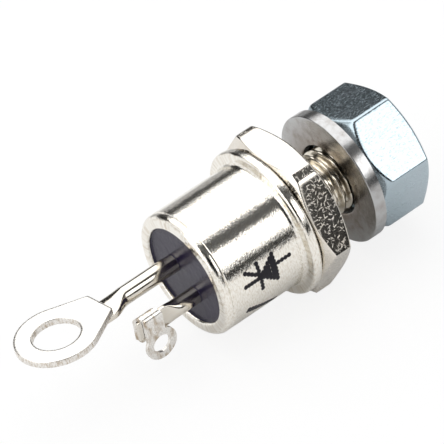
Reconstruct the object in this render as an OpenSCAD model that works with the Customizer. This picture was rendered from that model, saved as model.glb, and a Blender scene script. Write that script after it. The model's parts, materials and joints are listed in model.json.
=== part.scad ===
// Stud-mounted silicon controlled rectifier, lying on its side with a flat of its hexagonal base down.
// Every piece is drawn upright, with the axis along Z, the seating face at Z = 0 and the terminals up,
// and lay_down() then turns the whole part on to its side. X of the upright frame points up when it lies.

/* [Base and stud] */
// Width of the base hexagon across its flats
hex_af = 14.3; // [14.2:0.1:15.5]
// Thickness of the base hexagon
hex_t = 3.1; // [2.6:0.1:5]
// Angle of the turned chamfer on both faces of the hexagon
hex_chamfer_angle = 29; // [20:1:38]
// Distance from a flat to the circle where the chamfer starts
hex_chamfer_in = 0.12; // [0.05:0.01:0.4]
// Outer diameter of the stud thread
stud_d = 6.35; // [5.5:0.05:6.6]
// Length of the stud below the seating face
stud_len = 11.2; // [11:0.1:13]
// Chamfer on the stud tip
stud_tip = 0.7; // [0.3:0.1:1]
// Diameter of the raised platform that carries the silicon
pedestal_d = 9.4; // [8.4:0.1:10]
// Height of the raised platform
pedestal_h = 2.5; // [1.5:0.1:3]

/* [Cap] */
// Outer diameter of the drawn cap
cap_d = 12.3; // [11.8:0.1:13]
// Wall of the drawn cap
cap_wall = 0.7; // [0.4:0.05:0.8]
// Height of the cap from its weld flange to its rim
cap_h = 10.15; // [9.5:0.05:12]
// Outer diameter of the weld flange
flange_d = 14.7; // [13.8:0.1:15]
// Thickness of the weld flange
flange_t = 1; // [0.7:0.05:1.2]
// Rounding of the weld flange's edge
flange_edge = 0.32; // [0.1:0.02:0.34]
// Fillet between the weld flange and the cap wall
flange_fillet = 0.45; // [0.2:0.05:0.6]
// Height of the welded land that holds the flange off the base
weld_land_h = 0.14; // [0.08:0.02:0.3]
// Distance from the flange's edge to the welded land
weld_land_in = 0.5; // [0.3:0.05:0.7]
// Rounding of the cap's rim
rim_round = 0.62; // [0.3:0.02:0.7]
// Distance from the rim down to the rolled line round the cap
rim_line_drop = 0.8; // [0.75:0.05:1.2]
// Depth of the rolled line round the cap
rim_line_depth = 0.07; // [0.04:0.01:0.12]
// Rounding of the lip round the glass
lip_round = 0.28; // [0.1:0.02:0.34]

/* [Glass seal] */
// Diameter of the glass seal
glass_d = 9.7; // [9:0.1:10]
// Thickness of the glass seal
glass_t = 2.1; // [1.6:0.1:2.6]
// Depth of the glass below the rim
glass_recess = 0.36; // [0.3:0.02:0.6]
// Height of the curved edge where the glass wets the lip
meniscus = 0.14; // [0.05:0.01:0.2]
// Length of the cap's collar below the glass
collar_extra = 0.3; // [0.1:0.1:0.8]

/* [Cathode terminal] */
// Place of the cathode tube above the axis
cathode_up = 0.5; // [0:0.1:1]
// Place of the cathode tube to the side of the axis
cathode_side = 1.6; // [1.2:0.1:2.2]
// Outer diameter of the cathode tube
cathode_tube_d = 1.75; // [1.4:0.05:2]
// Bore of the cathode tube
cathode_bore_d = 1.1; // [0.9:0.05:1.15]
// Length of round cathode tube above the rim
cathode_round_len = 4.9; // [3:0.1:5.5]
// Length of the crimp between the round tube and its flat end
cathode_crimp_len = 2.8; // [1.8:0.1:3.2]
// Width of the flattened end of the cathode tube
cathode_flat_w = 2.5; // [2:0.1:2.8]
// Thickness of the flattened end of the cathode tube
cathode_flat_t = 0.8; // [0.6:0.05:1]
// Length of the flattened end of the cathode tube
cathode_lap = 2.4; // [1.5:0.1:2.6]
// Distance from the start of the flattened end to the lug's shoulder
lug_start = 0.2; // [0.15:0.05:0.6]
// Turn of the flattened end and the lug about the tube
lug_roll = 7.3; // [0:0.1:12]
// Sheet thickness of the cathode lug
lug_t = 0.75; // [0.4:0.05:0.9]
// Outer diameter of the lug's eye
lug_d = 7.8; // [6.8:0.1:8.4]
// Hole in the lug's eye
lug_hole_d = 4.4; // [3.2:0.1:4.8]
// Width of the lug's square shoulder
lug_shoulder_w = 3.3; // [2.8:0.1:4]
// Distance from the shoulder to the centre of the eye
lug_len = 5.25; // [5:0.05:6.5]
// Sideways set of the lug on the tube
lug_set = -0.18; // [-0.3:0.02:0.3]
// Angle between the lug and the tube, in the plane of the lug
lug_skew = 4; // [0:0.5:6]

/* [Gate terminal] */
// Place of the gate tube below the axis
gate_down = 1.7; // [1.4:0.05:2.2]
// Place of the gate tube to the side of the axis
gate_side = -1.04; // [-1.4:0.02:-0.6]
// Outer diameter of the gate tube
gate_tube_d = 1.65; // [1.2:0.05:1.8]
// Bore of the gate tube
gate_bore_d = 0.62; // [0.56:0.02:0.8]
// Length of round gate tube above the rim
gate_round_len = 1.7; // [1:0.1:2]
// Length of the crimp between the round tube and its flat end
gate_crimp_len = 1.6; // [1:0.1:1.9]
// Height of the flattened end of the gate tube
gate_flat_w = 2.25; // [1.9:0.05:2.4]
// Thickness of the flattened end of the gate tube
gate_flat_t = 0.5; // [0.4:0.02:0.6]
// Sheet thickness of the folded gate tag
tag_t = 0.3; // [0.2:0.02:0.4]
// Width of the strip that the gate tag is folded from
tag_w = 1.9; // [1.5:0.05:2.2]
// Clearance between the tag and the flattened tube, each side
tag_clearance = 0.04; // [0.02:0.01:0.08]
// Distance from the rim to the near edge of the tag
tag_gap = 3.8; // [3.6:0.05:4.5]
// Sideways slant of the strip from its front leg to its back leg
tag_slant = 0.6; // [0.2:0.05:0.9]
// Reach of the back leg below the gate tube's axis
tag_back_reach = 1.75; // [1.3:0.05:1.9]
// Rounding of the back leg's end
tag_back_round = 0.55; // [0.3:0.05:0.7]
// Outer diameter of the eye on the front leg
tag_eye_d = 3.3; // [2.8:0.05:3.5]
// Hole in the eye on the front leg
tag_hole_d = 1.85; // [1.5:0.05:2]
// Distance of the eye's centre below the gate tube's axis
tag_eye_drop = 2.25; // [2:0.05:2.4]
// Set of the eye's centre towards the rim, from the middle of the strip
tag_eye_set = 0.32; // [0:0.02:0.5]

/* [Silicon and inner leads] */
// Diameter of the disc under the silicon
anode_disc_d = 7.6; // [7:0.1:8]
// Thickness of the disc under the silicon
anode_disc_t = 0.7; // [0.4:0.05:1]
// Diameter of the silicon pellet
pellet_d = 6.8; // [6.2:0.1:6.9]
// Thickness of the silicon pellet
pellet_t = 0.35; // [0.2:0.05:0.5]
// Diameter of the contact disc on the silicon
cathode_disc_d = 4; // [3:0.1:4.4]
// Thickness of the contact disc on the silicon
cathode_disc_t = 0.5; // [0.3:0.05:0.8]
// Height of the rubber coating round the pellet's edge, above the disc under it
coating_h = 0.42; // [0.3:0.02:0.6]
// Width of the rubber coating round the pellet's edge
coating_w = 0.4; // [0.2:0.05:0.6]
// Diameter of the inner cathode lead
cathode_lead_d = 1; // [0.7:0.05:1.05]
// Height of the straight foot of the cathode lead
cathode_lead_foot = 0.6; // [0.4:0.1:1]
// Diameter of the inner gate lead
gate_lead_d = 0.5; // [0.3:0.02:0.54]
// Distance of the gate lead's foot from the axis
gate_spot_r = 2.8; // [2.6:0.05:2.9]
// Height of the straight foot of the gate lead
gate_lead_foot = 2; // [1.2:0.1:2.4]
// Length of each tube below the glass
tube_tail = 0.6; // [0.4:0.1:1]

/* [Washer and nut] */
// Outer diameter of the flat washer
washer_d = 13.1; // [12:0.1:14]
// Hole in the flat washer
washer_hole_d = 7.1; // [6.7:0.1:7.4]
// Thickness of the flat washer
washer_t = 1.22; // [1:0.02:1.6]
// Rounding of the washer's punched edge
washer_round = 0.14; // [0.05:0.01:0.25]
// Open length of stud between the seating face and the washer
grip_len = 3.7; // [3:0.1:4]
// Width of the nut across its flats
nut_af = 11.4; // [10.6:0.1:12]
// Height of the nut
nut_h = 5.9; // [5:0.1:6]
// Turn of the nut about the stud
nut_turn = -14.6; // [-30:0.1:30]
// Angle of the turned chamfer on both faces of the nut
nut_chamfer_angle = 34; // [25:1:40]
// Distance from a flat to the nut's bearing face
nut_face_in = 1; // [0.4:0.05:1.2]
// Distance from a flat to the nut's outer face
nut_back_in = 0.1; // [0.05:0.05:0.6]
// Depth of the countersink at both ends of the nut's thread
nut_countersink = 0.4; // [0.2:0.05:0.7]
// Clearance between the nut's thread and the stud, each side
thread_clearance = 0.02; // [0.01:0.01:0.05]

/* [Hidden] */
$fn = 96;

// Thin slice, and inset of a blend inside the shapes that it joins
eps = 0.01;
// Reach of a cutter past the face that it cuts
over = 1;

// Heights along the axis
land_z = hex_t + weld_land_h;
flange_top_z = land_z + flange_t;
rim_z = land_z + cap_h;
rim_line_z = rim_z - rim_line_drop;
glass_z = rim_z - glass_recess;
glass_foot_z = glass_z - glass_t;
tube_foot_z = glass_foot_z - tube_tail;
pedestal_z = hex_t + pedestal_h;
pellet_z = pedestal_z + anode_disc_t;
pellet_top_z = pellet_z + pellet_t;
cathode_disc_z = pellet_top_z + cathode_disc_t;
cathode_crimp_z = rim_z + cathode_round_len;
cathode_flat_z = cathode_crimp_z + cathode_crimp_len;
lug_z = cathode_flat_z + lug_start;
gate_crimp_z = rim_z + gate_round_len;
gate_flat_z = gate_crimp_z + gate_crimp_len;
tag_near_z = rim_z + tag_gap;
tag_far_z = tag_near_z + tag_w;
washer_z = -grip_len - washer_t;
nut_z = washer_z - nut_h;

// Radii and places across the axis
cap_r = cap_d / 2;
glass_r = glass_d / 2;
flange_r = flange_d / 2;
cathode_at = [cathode_up, cathode_side];
gate_at = [-gate_down, gate_side];
gate_spot = gate_at * gate_spot_r / norm(gate_at);
lug_far_z = lug_z + lug_len * cos(lug_skew) + lug_d / 2;
tag_half = gate_flat_t / 2 + tag_clearance + tag_t;
tag_fold_x = -gate_down + gate_flat_w / 2 - gate_flat_t / 2;
tag_eye_z = tag_near_z + tag_w / 2 - tag_eye_set;

// Turns the upright part on to its side, with the floor at Z = 0 and its middle over the origin
module lay_down() {
    translate([(lug_far_z - stud_len) / 2, 0, max(hex_af, flange_d) / 2])
        rotate([0, -90, 0])
            children();
}

// Points of an arc about a centre, from one angle to another
function arc(centre, r, from, to, steps = 6) =
    [for (i = [0:steps]) let (a = from + (to - from) * i / steps) centre + r * [cos(a), sin(a)]];

// Solid of revolution that chamfers both ends of a hexagon
module turned_blank(af, h, angle, low_in, high_in) {
    reach = af;
    low_r = af / 2 - low_in;
    high_r = af / 2 - high_in;
    rotate_extrude()
        polygon([[0, 0], [low_r, 0], [reach, (reach - low_r) * tan(angle)],
                 [reach, h - (reach - high_r) * tan(angle)], [high_r, h], [0, h]]);
}

// Hexagonal prism with flats facing X before it is turned
module hex_prism(af, h) {
    rotate([0, 0, 30])
        cylinder(d = af / cos(30), h = h, $fn = 6);
}

// Bar with two flat faces and round edges, its thin way along X
module flat_bar(w, t, h, fine = 32) {
    linear_extrude(h) {
        square([t, w - t], center = true);
        for (side = [-1, 1])
            translate([0, side * (w - t) / 2])
                circle(d = t, $fn = fine);
    }
}

// Round tube that is crimped flat at its upper end and open at its foot
module crimped_tube(d, bore, foot_z, crimp_z, flat_z, end_z, flat_w, flat_t) {
    difference() {
        union() {
            translate([0, 0, foot_z])
                cylinder(d = d, h = crimp_z - foot_z);
            hull() {
                translate([0, 0, crimp_z - eps])
                    cylinder(d = d - 2 * eps, h = eps, $fn = 32);
                translate([0, 0, flat_z])
                    flat_bar(flat_w - 2 * eps, flat_t - 2 * eps, eps);
            }
            translate([0, 0, flat_z])
                flat_bar(flat_w, flat_t, end_z - flat_z);
        }
        translate([0, 0, foot_z - over])
            cylinder(d = bore, h = crimp_z - foot_z + over);
    }
}

// Round wire that rises straight from its foot, slants across and rises straight into a tube
module wire(foot, knee_z, tube_at, tube_z, end_z, d) {
    translate(foot)
        cylinder(d = d, h = knee_z - foot.z);
    hull() {
        translate([foot.x, foot.y, knee_z - eps])
            cylinder(d = d - 2 * eps, h = eps, $fn = 24);
        translate([tube_at.x, tube_at.y, tube_z])
            cylinder(d = d - 2 * eps, h = eps, $fn = 24);
    }
    translate([tube_at.x, tube_at.y, tube_z])
        cylinder(d = d, h = end_z - tube_z);
}

// Hexagonal base, weld land, platform and stud, turned from one bar
module stud_base() {
    color("#c9c4ba") lay_down() {
        intersection() {
            hex_prism(hex_af, hex_t);
            turned_blank(hex_af, hex_t, hex_chamfer_angle, hex_chamfer_in, hex_chamfer_in);
        }
        rotate_extrude()
            polygon([[0, hex_t - eps], [flange_r - weld_land_in, hex_t - eps], [flange_r - weld_land_in, land_z],
                     [cap_r - cap_wall, land_z], [cap_r - cap_wall, hex_t], [pedestal_d / 2, hex_t],
                     [pedestal_d / 2, pedestal_z], [0, pedestal_z]]);
        rotate_extrude()
            polygon([[0, eps], [stud_d / 2, eps], [stud_d / 2, stud_tip - stud_len],
                     [stud_d / 2 - stud_tip, -stud_len], [0, -stud_len]]);
    }
}

// Drawn cap with its weld flange, rolled line, rounded rim and inner collar
module cap_shell() {
    inner_r = cap_r - cap_wall;
    color("#d6d1c8") lay_down()
        rotate_extrude()
            polygon(concat(
                [[inner_r, land_z]],
                arc([flange_r - flange_edge, land_z + flange_edge], flange_edge, -90, 0),
                arc([flange_r - flange_edge, flange_top_z - flange_edge], flange_edge, 0, 90),
                arc([cap_r + flange_fillet, flange_top_z + flange_fillet], flange_fillet, -90, -180),
                [[cap_r, rim_line_z - rim_line_depth], [cap_r - rim_line_depth, rim_line_z],
                 [cap_r, rim_line_z + rim_line_depth]],
                arc([cap_r - rim_round, rim_z - rim_round], rim_round, 0, 90, 8),
                arc([glass_r + lip_round, rim_z - lip_round], lip_round, 90, 180),
                [[glass_r, glass_foot_z - collar_extra], [inner_r, glass_foot_z - collar_extra]]));
}

// Fused glass disc that holds both tubes
module glass_seal() {
    color("#58535e") lay_down()
        difference() {
            rotate_extrude()
                polygon(concat([[0, glass_foot_z], [glass_r, glass_foot_z]],
                               arc([glass_r - meniscus, glass_z + meniscus], meniscus, 0, -90),
                               [[0, glass_z]]));
            translate([cathode_at.x, cathode_at.y, glass_foot_z - over])
                cylinder(d = cathode_tube_d, h = glass_t + 2 * over);
            translate([gate_at.x, gate_at.y, glass_foot_z - over])
                cylinder(d = gate_tube_d, h = glass_t + 2 * over);
        }
}

// Molybdenum disc between the base and the silicon
module anode_disc() {
    color("#8d8c8a") lay_down()
        translate([0, 0, pedestal_z])
            cylinder(d = anode_disc_d, h = anode_disc_t);
}

// Four-layer silicon pellet
module silicon_pellet() {
    color("#3c4048") lay_down()
        translate([0, 0, pellet_z])
            cylinder(d = pellet_d, h = pellet_t);
}

// Rubber coating that seals the pellet's edge
module junction_coating() {
    color("#a8402f") lay_down()
        rotate_extrude()
            polygon([[pellet_d / 2, pellet_z], [pellet_d / 2 + coating_w, pellet_z],
                     [(pellet_d + coating_w) / 2, pellet_z + coating_h], [pellet_d / 2, pellet_z + coating_h]]);
}

// Contact disc on top of the silicon
module cathode_disc() {
    color("#8d8c8a") lay_down()
        translate([0, 0, pellet_top_z])
            cylinder(d = cathode_disc_d, h = cathode_disc_t);
}

// Inner lead from the contact disc into the cathode tube
module cathode_lead() {
    color("#b87333") lay_down()
        wire([0, 0, cathode_disc_z], cathode_disc_z + cathode_lead_foot, cathode_at, tube_foot_z, cathode_crimp_z,
             cathode_lead_d);
}

// Inner lead from the gate spot on the silicon into the gate tube
module gate_lead() {
    color("#c8c4bc") lay_down()
        wire([gate_spot.x, gate_spot.y, pellet_top_z], pellet_top_z + gate_lead_foot, gate_at, tube_foot_z,
             gate_crimp_z, gate_lead_d);
}

// Cathode tube, crimped flat under the lug
module cathode_tube() {
    color("#dcd8d0") lay_down()
        translate([cathode_at.x, cathode_at.y, 0])
            rotate([0, 0, lug_roll])
                crimped_tube(cathode_tube_d, cathode_bore_d, tube_foot_z, cathode_crimp_z, cathode_flat_z,
                             cathode_flat_z + cathode_lap, cathode_flat_w, cathode_flat_t);
}

// Outline of the cathode lug: a round eye whose tangents run in to a square shoulder
module lug_outline() {
    half = lug_shoulder_w / 2;
    span = norm([half, lug_len]);
    touch = 90 - atan2(half, lug_len) - acos(lug_d / 2 / span);
    tangent = lug_d / 2 * [cos(touch), -sin(touch)];
    difference() {
        union() {
            translate([0, lug_len])
                circle(d = lug_d);
            polygon([[-half, 0], [half, 0], [tangent.x, lug_len + tangent.y], [0, lug_len],
                     [-tangent.x, lug_len + tangent.y]]);
        }
        translate([0, lug_len])
            circle(d = lug_hole_d);
    }
}

// Stamped cathode lug with a large round eye
module cathode_lug() {
    color("#e6e2da") lay_down()
        translate([cathode_at.x, cathode_at.y, lug_z])
            rotate([0, 0, lug_roll])
                translate([cathode_flat_t / 2, lug_set, 0])
                    rotate([lug_skew, 0, 0])
                        rotate([90, 0, 90])
                            linear_extrude(lug_t)
                                lug_outline();
}

// Gate tube, crimped flat inside the folded tag
module gate_tube() {
    color("#dcd8d0") lay_down()
        translate([gate_at.x, gate_at.y, 0])
            rotate([0, 0, 90])
                crimped_tube(gate_tube_d, gate_bore_d, tube_foot_z, gate_crimp_z, gate_flat_z,
                             tag_far_z, gate_flat_w, gate_flat_t);
}

// Section of the folded strip: front leg, half-round fold and shorter back leg
module tag_section(front_x, back_x) {
    difference() {
        union() {
            translate([tag_fold_x, gate_side])
                circle(r = tag_half);
            translate([back_x, gate_side])
                square([tag_fold_x - back_x, tag_half]);
            translate([front_x, gate_side - tag_half])
                square([tag_fold_x - front_x, tag_half]);
        }
        translate([tag_fold_x, gate_side])
            circle(r = tag_half - tag_t);
        translate([front_x - over, gate_side - tag_half + tag_t])
            square([tag_fold_x - front_x + over, 2 * (tag_half - tag_t)]);
    }
}

// Stamped gate tag, folded over the flattened tube, with a small eye on its front leg
module gate_tag() {
    eye_x = -gate_down - tag_eye_drop;
    back_x = -gate_down - tag_back_reach;
    leg_y = gate_side - tag_half;
    color("#d9d4c8") lay_down()
        difference() {
            union() {
                intersection() {
                    translate([0, 0, tag_near_z])
                        linear_extrude(tag_w + tag_slant)
                            tag_section(eye_x, back_x);
                    // Slanted strip, seen from above the fold
                    translate([eye_x - over, 0, 0])
                        rotate([90, 0, 90])
                            linear_extrude(gate_flat_w + tag_eye_drop + 2 * over)
                                polygon([[leg_y, tag_near_z], [leg_y + 2 * tag_half, tag_near_z + tag_slant],
                                         [leg_y + 2 * tag_half, tag_far_z + tag_slant], [leg_y, tag_far_z]]);
                }
                translate([eye_x, leg_y + tag_t, tag_eye_z])
                    rotate([90, 0, 0])
                        cylinder(d = tag_eye_d, h = tag_t);
            }
            translate([eye_x, leg_y + tag_t + eps, tag_eye_z])
                rotate([90, 0, 0])
                    cylinder(d = tag_hole_d, h = tag_t + 2 * eps);
            // Rounded corners of the back leg
            for (edge = [[tag_near_z, 1], [tag_far_z, -1]])
                translate([back_x, gate_side, edge[0] + tag_slant * (gate_side - leg_y + tag_half / 2) / (2 * tag_half)])
                    rotate([-90, 0, 0])
                        corner_cut(tag_back_round, edge[1]);
        }
}

// Cutter that rounds one corner of the back leg
module corner_cut(r, side) {
    linear_extrude(tag_half + over)
        difference() {
            translate([-over, side > 0 ? -r - over : -over])
                square([r + over, r + 2 * over]);
            translate([r, -side * r])
                circle(r = r);
            translate([-over, side > 0 ? -2 * r - over : r])
                square([r + 2 * over, r + over]);
        }
}

// Flat washer with a punched, rounded front edge
module flat_washer() {
    front_z = washer_z + washer_t;
    color("#9a9690") lay_down()
        rotate_extrude()
            polygon(concat([[washer_hole_d / 2, washer_z], [washer_d / 2, washer_z]],
                           arc([washer_d / 2 - washer_round, front_z - washer_round], washer_round, 0, 90),
                           arc([washer_hole_d / 2 + washer_round, front_z - washer_round], washer_round, 90, 180)));
}

// Hexagonal nut, chamfered and countersunk at both ends
module hex_nut() {
    bore_r = stud_d / 2 + thread_clearance;
    color("#c4ccd4") lay_down()
        translate([0, 0, nut_z])
            difference() {
                intersection() {
                    rotate([0, 0, nut_turn - 30])
                        hex_prism(nut_af, nut_h);
                    turned_blank(nut_af, nut_h, nut_chamfer_angle, nut_back_in, nut_face_in);
                }
                rotate_extrude()
                    polygon([[0, -over], [bore_r + nut_countersink + over, -over], [bore_r + nut_countersink, 0],
                             [bore_r, nut_countersink], [bore_r, nut_h - nut_countersink],
                             [bore_r + nut_countersink, nut_h], [bore_r + nut_countersink + over, nut_h + over],
                             [0, nut_h + over]]);
            }
}

stud_base();
cap_shell();
glass_seal();
anode_disc();
silicon_pellet();
junction_coating();
cathode_disc();
cathode_lead();
gate_lead();
cathode_tube();
cathode_lug();
gate_tube();
gate_tag();
flat_washer();
hex_nut();
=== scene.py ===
"""Stud-mounted thyristor: metal finishes, rolled thread, crimped terminals, glass and printed symbol."""

import json
import math

import bmesh
import bpy
from bpy.props import FloatProperty, FloatVectorProperty, PointerProperty
from bpy.types import Operator, Panel, PropertyGroup
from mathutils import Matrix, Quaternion, Vector

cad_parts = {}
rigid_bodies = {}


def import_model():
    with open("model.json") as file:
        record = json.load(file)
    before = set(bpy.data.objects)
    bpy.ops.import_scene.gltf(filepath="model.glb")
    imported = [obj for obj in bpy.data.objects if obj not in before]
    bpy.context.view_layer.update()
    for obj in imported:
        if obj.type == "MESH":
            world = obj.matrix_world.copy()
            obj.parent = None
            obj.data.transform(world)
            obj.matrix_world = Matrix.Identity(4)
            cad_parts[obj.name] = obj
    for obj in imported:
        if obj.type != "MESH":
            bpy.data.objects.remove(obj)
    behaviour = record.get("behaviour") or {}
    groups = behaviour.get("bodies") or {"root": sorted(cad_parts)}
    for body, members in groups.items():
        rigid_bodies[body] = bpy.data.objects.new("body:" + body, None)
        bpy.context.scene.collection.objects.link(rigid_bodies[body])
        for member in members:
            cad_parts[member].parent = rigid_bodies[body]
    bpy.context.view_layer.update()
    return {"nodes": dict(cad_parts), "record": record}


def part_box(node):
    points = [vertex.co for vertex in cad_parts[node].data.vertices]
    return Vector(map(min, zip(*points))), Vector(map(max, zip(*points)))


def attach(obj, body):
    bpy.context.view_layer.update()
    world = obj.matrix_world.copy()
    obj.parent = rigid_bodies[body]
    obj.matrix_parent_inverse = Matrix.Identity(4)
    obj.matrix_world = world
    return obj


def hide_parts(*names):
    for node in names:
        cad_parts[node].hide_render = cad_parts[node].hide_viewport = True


bl_info = {
    "name": "Stud-mounted thyristor",
    "version": (1, 0, 0),
    "blender": (4, 5, 0),
    "location": "View3D > Sidebar > Thyristor",
    "description": "Dresses the packed thyristor with its finishes, thread, crimped terminals and symbol",
    "category": "Object",
}

for leftover in list(bpy.data.objects):
    bpy.data.objects.remove(leftover)
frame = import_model()
mounts = {mount["name"]: mount for mount in frame["record"]["mounts"]}

# The seat plane and the axis: heights along the axis run from the seat towards the terminals
SEAT_X = mounts["seat"]["pos_m"][0]
AXIS_Z = mounts["stud"]["pos_m"][2]

# Way that the camera looks, and its place in millimetres from where the axis meets the seat
LOOK = Vector((0.39933, 0.63079, -0.66531))
CAMERA_PLACE = (-167.06, -250.82, 267.65)

# Edges that bend more than this stay crisp
CRISP = math.radians(38)

# Steps round each kind of piece
BASE_STEPS = 288
TURNED_STEPS = 256
NUT_STEPS = 360
TUBE_STEPS = 96
LUG_STEPS = 288
FILLET_STEPS = 48
DOT_STEPS = 12
CARD_STEPS = 16

# Rows of mesh along the crimp of a tube
CRIMP_ROWS = 24

# Rows of mesh in one turn of the thread, and the shares of a turn that half its crest and one flank take
THREAD_ROWS = 11
CREST = 0.07
FLANK = 0.36


def mm(value):
    """Millimetres to metres"""
    return value * 0.001


def per_mm(size):
    """Scale of a texture whose features are this many millimetres across"""
    return 1000.0 / size


def linear(code):
    """sRGB hex colour to linear"""
    parts = [int(code[start:start + 2], 16) / 255 for start in (1, 3, 5)]
    return tuple(part / 12.92 if part <= 0.04045 else ((part + 0.055) / 1.055) ** 2.4 for part in parts)


def along(node):
    """Where a node starts and ends along the axis, in metres from the seat"""
    low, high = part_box(node)
    return SEAT_X - high[0], SEAT_X - low[0]


def width_of(node, axis):
    """Width of a node along one axis of the row frame"""
    low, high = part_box(node)
    return high[axis] - low[axis]


def length(name, description, value):
    """A length that a user may change, in metres"""
    return FloatProperty(name=name, description=description, default=value, unit="LENGTH", precision=5)


def slope(name, description, degrees):
    """An angle that a user may change"""
    return FloatProperty(name=name, description=description, default=math.radians(degrees), subtype="ANGLE")


def amount(name, description, value):
    """A plain number that a user may change"""
    return FloatProperty(name=name, description=description, default=value, min=0.0)


def colour(name, description, code):
    """A colour that a user may change"""
    return FloatVectorProperty(name=name, description=description, default=linear(code), subtype="COLOR",
                               size=3, min=0.0, max=1.0)


class ThyristorBase(PropertyGroup):
    """Sizes of the hexagonal base and its stud"""

    hex_width: length("Hexagon width", "Across the flats of the base", width_of("stud_base", 2))
    hex_height: length("Hexagon height", "Thickness of the hexagon", mm(3.1))
    chamfer_inset: length("Chamfer inset", "How far inside the flats the chamfer starts", mm(0.12))
    chamfer: slope("Chamfer", "Angle of both turned chamfers", 29)
    worn_edge: length("Worn edge", "Rounding of the hexagon's edges", mm(0.08))
    worn_corner: length("Worn corner", "Rounding of the hexagon's corners", mm(0.025))
    near_bruise_turn: slope("Near bruise turn", "Facing of the near upper corner's bruise, from up", -36)
    near_bruise: length("Near bruise", "How much of the near upper corner is knocked off", mm(0.3))
    far_bruise_turn: slope("Far bruise turn", "Facing of the far upper corner's bruise, from up", 13)
    far_bruise: length("Far bruise", "How much of the far upper corner is knocked off", mm(0.16))
    land: length("Weld land", "Radius of the low land under the cap's flange", mm(6.3))
    platform: length("Platform", "Radius of the platform inside the cap", mm(4.7))
    thread_pitch: length("Thread pitch", "One turn of the fine thread", mm(25.4 / 28))
    thread_depth: length("Thread depth", "Depth of the rolled thread", mm(0.5))
    thread_start: length("Thread start", "Plain length under the seat", mm(0.25))
    tip_chamfer: length("Tip chamfer", "Chamfer at the stud's tip", mm(0.7))


class ThyristorCap(PropertyGroup):
    """Sizes of the drawn cap"""

    wall_radius: length("Wall radius", "Outer radius of the cap's wall", mm(6.15))
    wall: length("Wall", "Thickness of the cap's wall", mm(0.7))
    flange_radius: length("Flange radius", "Outer radius of the weld flange", width_of("cap_shell", 1) / 2)
    flange_height: length("Flange height", "Thickness of the weld flange", mm(1.0))
    flange_edge: length("Flange edge", "Rounding of the flange's edges", mm(0.32))
    flange_fillet: length("Flange fillet", "Fillet between the flange and the wall", mm(0.45))
    rim_round: length("Rim round", "Rounding of the rim", mm(0.62))
    line_drop: length("Rolled line", "How far below the rim the rolled line runs", mm(0.8))
    line_depth: length("Line depth", "Depth of the rolled line", mm(0.11))
    mouth: length("Mouth", "Radius of the mouth that the glass fills", mm(4.85))
    lip_round: length("Lip round", "Rounding of the mouth's lip", mm(0.28))
    collar_drop: length("Collar", "Reach of the collar below the rim", mm(2.76))


class ThyristorTerminals(PropertyGroup):
    """Sizes of the crimped tubes and the cathode lug"""

    cathode_up: length("Cathode height", "Cathode tube above the axis", mm(0.5))
    cathode_side: length("Cathode offset", "Cathode tube to the side of the axis", mm(1.6))
    cathode_radius: length("Cathode radius", "Radius of the cathode tube", mm(0.875))
    cathode_crimp: length("Cathode crimp", "Start of the crimp above the rim", mm(5.3))
    cathode_flare: length("Cathode flare", "Length of the crimp", mm(2.4))
    cathode_wide: length("Cathode width", "Width of the flattened end", mm(2.7))
    cathode_thin: length("Cathode thickness", "Thickness of the flattened end", mm(0.8))
    cathode_shift: length("Cathode shift", "How far the press moved the flattened end sideways", mm(-0.4))
    gate_down: length("Gate drop", "Gate tube below the axis", mm(1.7))
    gate_side: length("Gate offset", "Gate tube to the side of the axis", mm(-1.04))
    gate_radius: length("Gate radius", "Radius of the gate tube", mm(0.825))
    gate_crimp: length("Gate crimp", "Start of the crimp above the rim", mm(1.7))
    gate_flare: length("Gate flare", "Length of the crimp", mm(1.6))
    gate_wide: length("Gate width", "Width of the flattened end", mm(2.25))
    gate_thin: length("Gate thickness", "Thickness of the flattened end", mm(0.5))
    lug_roll: slope("Lug roll", "Turn of the lug about the tube", 7.3)
    lug_skew: slope("Lug skew", "Sideways turn of the lug", 4)
    lug_set: length("Lug offset", "Sideways offset of the lug", mm(-0.18))
    lug_start: length("Lug start", "Shoulder of the lug past the end of the flare", mm(0.2))
    lug_sheet: length("Lug sheet", "Thickness of the lug", mm(0.75))
    lug_radius: length("Lug radius", "Outer radius of the lug's eye", mm(3.898))
    lug_hole: length("Lug hole", "Radius of the lug's hole", mm(2.2))
    lug_shoulder: length("Lug shoulder", "Half the width of the lug's shoulder", mm(1.65))
    lug_length: length("Lug length", "From the shoulder to the middle of the eye", mm(5.25))
    sheared_edge: length("Sheared edge", "Width of the rounding that the press leaves on the sheet", mm(0.24))
    sheared_drop: length("Sheared drop", "Depth of that rounding", mm(0.1))


class ThyristorFasteners(PropertyGroup):
    """Sizes of the washer and the nut"""

    washer_radius: length("Washer radius", "Outer radius of the washer", width_of("flat_washer", 1) / 2)
    washer_hole: length("Washer hole", "Radius of the washer's hole", mm(3.55))
    washer_edge: length("Washer edge", "Rounding of the punched edge", mm(0.14))
    nut_width: length("Nut width", "Across the flats of the nut", mm(11.4))
    nut_turn: slope("Nut turn", "Turn of the nut's corner from up", -14.6)
    nut_face_chamfer: slope("Nut face chamfer", "Angle of the chamfer at the washer", 43)
    nut_face: length("Nut face inset", "Inset of the chamfer at the washer", mm(0.5))
    nut_back_chamfer: slope("Nut back chamfer", "Angle of the chamfer at the stud's tip", 23)
    nut_back: length("Nut back inset", "Inset of the chamfer at the stud's tip", mm(0.1))
    nut_bore: length("Nut bore", "Radius of the nut's bore", mm(3.195))
    countersink: length("Countersink", "Countersink at both ends of the bore", mm(0.4))
    worn_edge: length("Worn edge", "Rounding of the nut's edges", mm(0.1))
    worn_corner: length("Worn corner", "Rounding of the nut's corners", mm(0.06))


class ThyristorMarking(PropertyGroup):
    """Sizes of the printed symbol"""

    dot_radius: length("Dot radius", "Radius of one printed dot", mm(0.23))
    dot_spacing: length("Dot spacing", "Longest step from dot to dot", mm(0.42))
    ink_height: length("Ink height", "Height of the ink above the cap", mm(0.006))


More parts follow.
